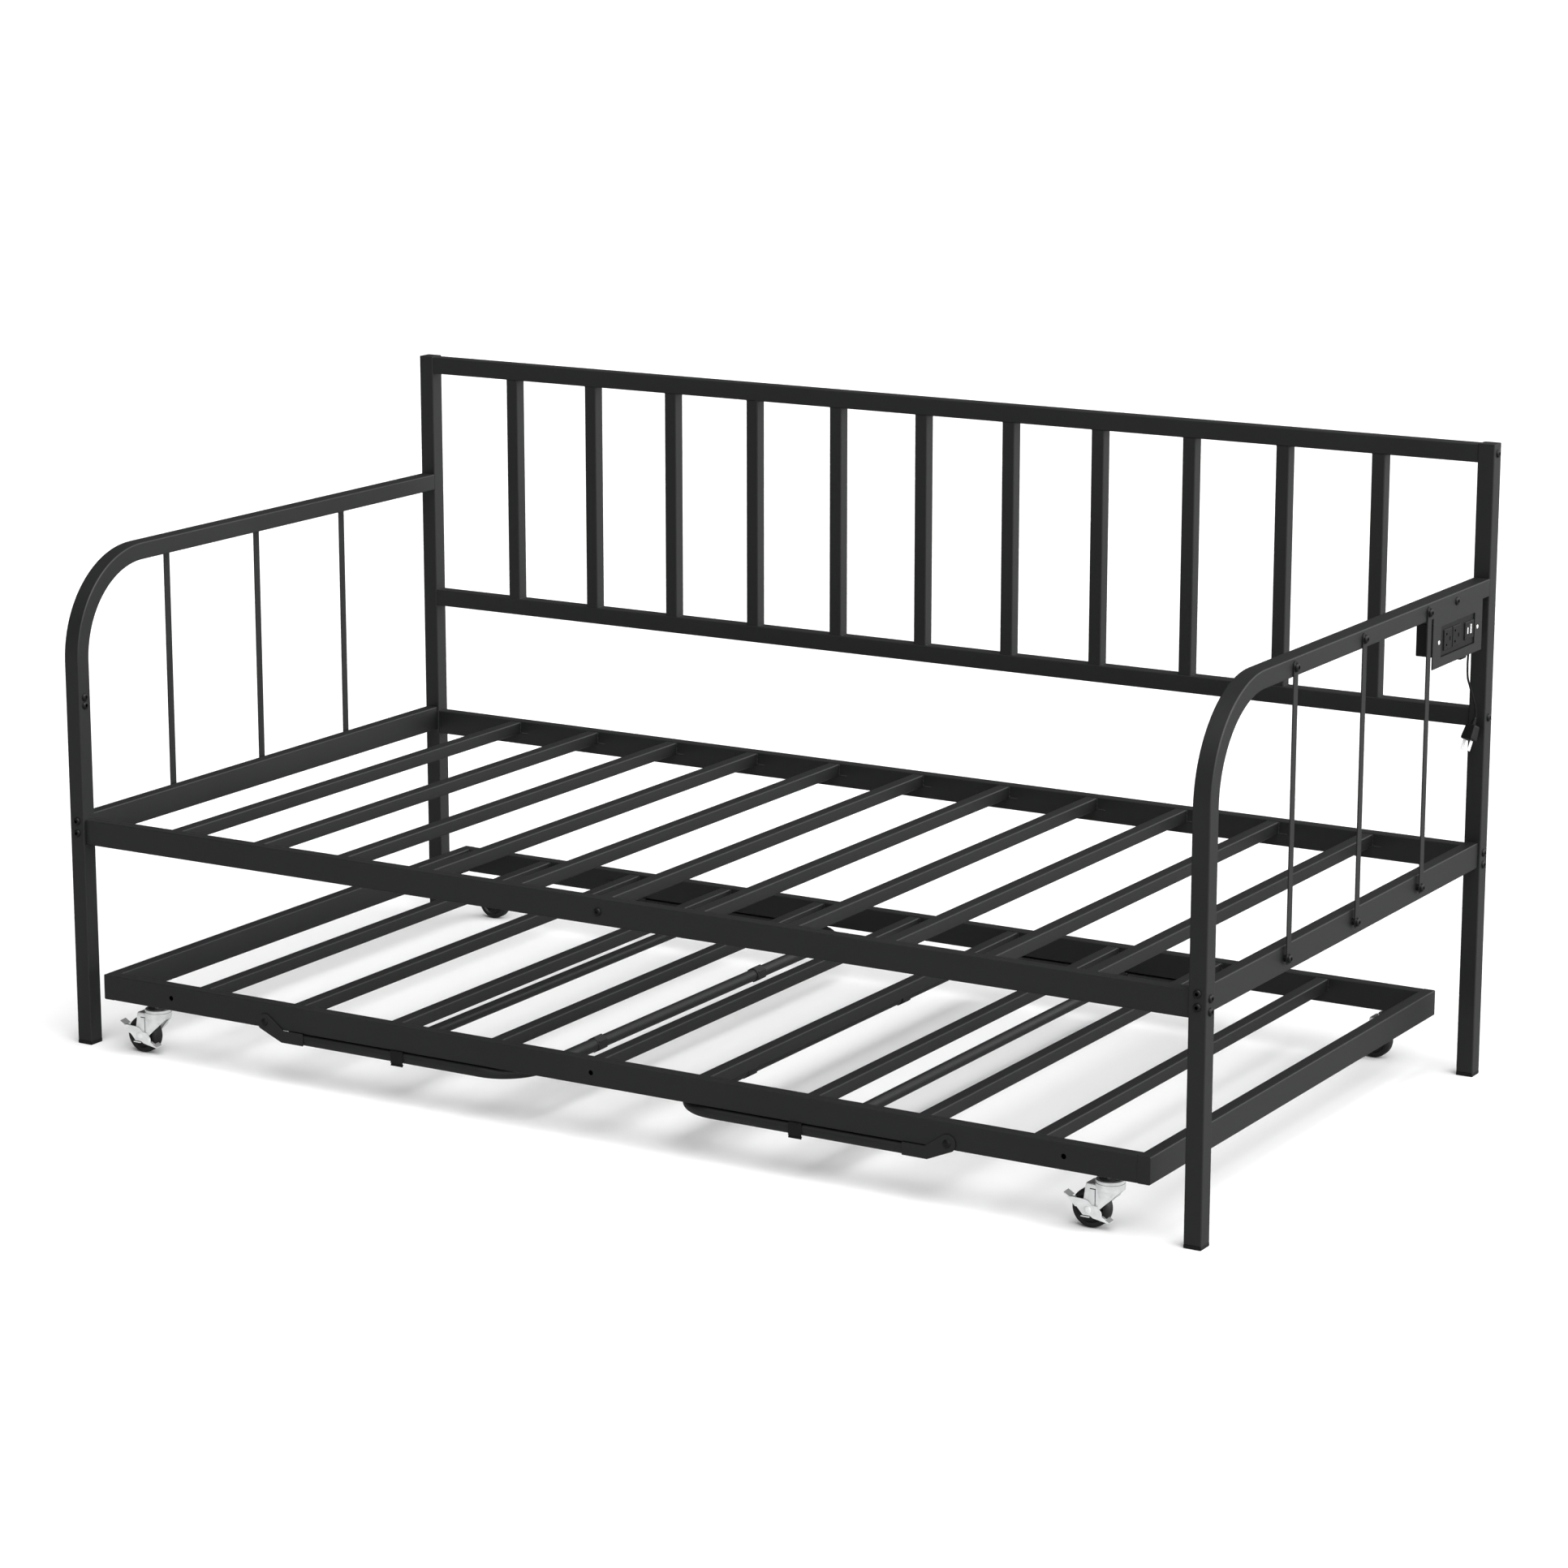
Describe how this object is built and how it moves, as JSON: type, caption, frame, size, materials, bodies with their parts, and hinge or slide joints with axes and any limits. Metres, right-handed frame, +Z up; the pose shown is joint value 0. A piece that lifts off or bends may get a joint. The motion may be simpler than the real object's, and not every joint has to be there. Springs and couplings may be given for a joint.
{
  "type": "trundle bed",
  "caption": "Black steel daybed with a spindle back, bent-tube arms, a slatted deck, an outlet in one arm and a slatted roll-out trundle on casters with folding legs.",
  "frame": {"origin": "on the floor, under the middle of the whole bed's outer box", "axes": "+X along the bed towards the arm with the outlet, +Y from the open front towards the back panel, +Z up"},
  "size_m": [1.9646, 1.0238, 0.981],
  "materials": {
    "black_powder_coat": "satin black powder coat",
    "black_plastic": "matt black moulded plastic",
    "outlet_plastic": "smooth black moulded plastic",
    "cord_sheath": "soft black sheath",
    "zinc_steel": "bright zinc plate",
    "wheel_rubber": "matt black wheel"
  },
  "bodies": {
    "daybed": {"arm_left": "black_powder_coat", "rear_post_left": "black_powder_coat", "side_rail_left": "black_powder_coat", "arm_bar_left_front": "black_powder_coat", "arm_bar_left_middle": "black_powder_coat", "arm_bar_left_rear": "black_powder_coat", "foot_front_left": "black_plastic", "foot_rear_left": "black_plastic", "arm_right": "black_powder_coat", "rear_post_right": "black_powder_coat", "side_rail_right": "black_powder_coat", "arm_bar_right_front": "black_powder_coat", "arm_bar_right_middle": "black_powder_coat", "arm_bar_right_rear": "black_powder_coat", "foot_front_right": "black_plastic", "foot_rear_right": "black_plastic", "deck_rail_front": "black_powder_coat", "deck_rail_rear": "black_powder_coat", "deck_slat_01": "black_powder_coat", "deck_slat_02": "black_powder_coat", "deck_slat_03": "black_powder_coat", "deck_slat_04": "black_powder_coat", "deck_slat_05": "black_powder_coat", "deck_slat_06": "black_powder_coat", "deck_slat_07": "black_powder_coat", "deck_slat_08": "black_powder_coat", "deck_slat_09": "black_powder_coat", "deck_slat_10": "black_powder_coat", "deck_slat_11": "black_powder_coat", "back_panel": "black_powder_coat", "outlet_plate": "black_powder_coat", "outlet_unit": "outlet_plastic", "cord": "cord_sheath", "plug": "cord_sheath"},
    "trundle": {"trundle_rail_front": "black_powder_coat", "trundle_rail_rear": "black_powder_coat", "trundle_side_rail_left": "black_powder_coat", "trundle_side_rail_right": "black_powder_coat", "trundle_slat_1": "black_powder_coat", "trundle_slat_2": "black_powder_coat", "trundle_slat_3": "black_powder_coat", "trundle_slat_4": "black_powder_coat", "trundle_slat_5": "black_powder_coat", "trundle_slat_6": "black_powder_coat", "trundle_slat_7": "black_powder_coat", "trundle_slat_8": "black_powder_coat", "trundle_slat_9": "black_powder_coat"},
    "leg_left": {"folding_leg_left": "black_powder_coat"},
    "leg_right": {"folding_leg_right": "black_powder_coat"},
    "caster_front_left": {"caster_fork_front_left": "zinc_steel"},
    "wheel_front_left": {"caster_wheel_front_left": "wheel_rubber"},
    "brake_front_left": {"brake_pedal_front_left": "zinc_steel"},
    "caster_front_right": {"caster_fork_front_right": "zinc_steel"},
    "wheel_front_right": {"caster_wheel_front_right": "wheel_rubber"},
    "brake_front_right": {"brake_pedal_front_right": "zinc_steel"},
    "caster_rear_left": {"caster_fork_rear_left": "zinc_steel"},
    "wheel_rear_left": {"caster_wheel_rear_left": "wheel_rubber"},
    "caster_rear_right": {"caster_fork_rear_right": "zinc_steel"},
    "wheel_rear_right": {"caster_wheel_rear_right": "wheel_rubber"}
  },
  "joints": [
    {"name": "trundle_slide", "type": "slide", "parent": "daybed", "child": "trundle", "axis": [0, -1, 0], "range_m": [0, 1]},
    {"name": "leg_left_fold", "type": "hinge", "parent": "trundle", "child": "leg_left", "pos_m": [-0.595, -0.0015, 0.095], "axis": [0, 1, 0], "range_deg": [0, 90]},
    {"name": "leg_right_fold", "type": "hinge", "parent": "trundle", "child": "leg_right", "pos_m": [0.595, -0.0015, 0.095], "axis": [0, -1, 0], "range_deg": [0, 90]},
    {"name": "front_left_swivel", "type": "hinge", "parent": "trundle", "child": "caster_front_left", "pos_m": [-0.832, -0.4735, 0.066], "axis": [0, 0, 1], "continuous": true},
    {"name": "front_left_axle", "type": "hinge", "parent": "caster_front_left", "child": "wheel_front_left", "pos_m": [-0.859, -0.4735, 0.0288], "axis": [0, 1, 0], "continuous": true},
    {"name": "front_left_brake", "type": "hinge", "parent": "caster_front_left", "child": "brake_front_left", "pos_m": [-0.859, -0.4735, 0.0288], "axis": [0, 1, 0], "range_deg": [0, 18]},
    {"name": "front_right_swivel", "type": "hinge", "parent": "trundle", "child": "caster_front_right", "pos_m": [0.832, -0.4735, 0.066], "axis": [0, 0, 1], "continuous": true},
    {"name": "front_right_axle", "type": "hinge", "parent": "caster_front_right", "child": "wheel_front_right", "pos_m": [0.805, -0.4735, 0.0288], "axis": [0, 1, 0], "continuous": true},
    {"name": "front_right_brake", "type": "hinge", "parent": "caster_front_right", "child": "brake_front_right", "pos_m": [0.805, -0.4735, 0.0288], "axis": [0, 1, 0], "range_deg": [0, 18]},
    {"name": "rear_left_swivel", "type": "hinge", "parent": "trundle", "child": "caster_rear_left", "pos_m": [-0.832, 0.4909, 0.066], "axis": [0, 0, 1], "continuous": true},
    {"name": "rear_left_axle", "type": "hinge", "parent": "caster_rear_left", "child": "wheel_rear_left", "pos_m": [-0.859, 0.4909, 0.0288], "axis": [0, 1, 0], "continuous": true},
    {"name": "rear_right_swivel", "type": "hinge", "parent": "trundle", "child": "caster_rear_right", "pos_m": [0.832, 0.4909, 0.066], "axis": [0, 0, 1], "continuous": true},
    {"name": "rear_right_axle", "type": "hinge", "parent": "caster_rear_right", "child": "wheel_rear_right", "pos_m": [0.805, 0.4909, 0.0288], "axis": [0, 1, 0], "continuous": true}
  ]
}
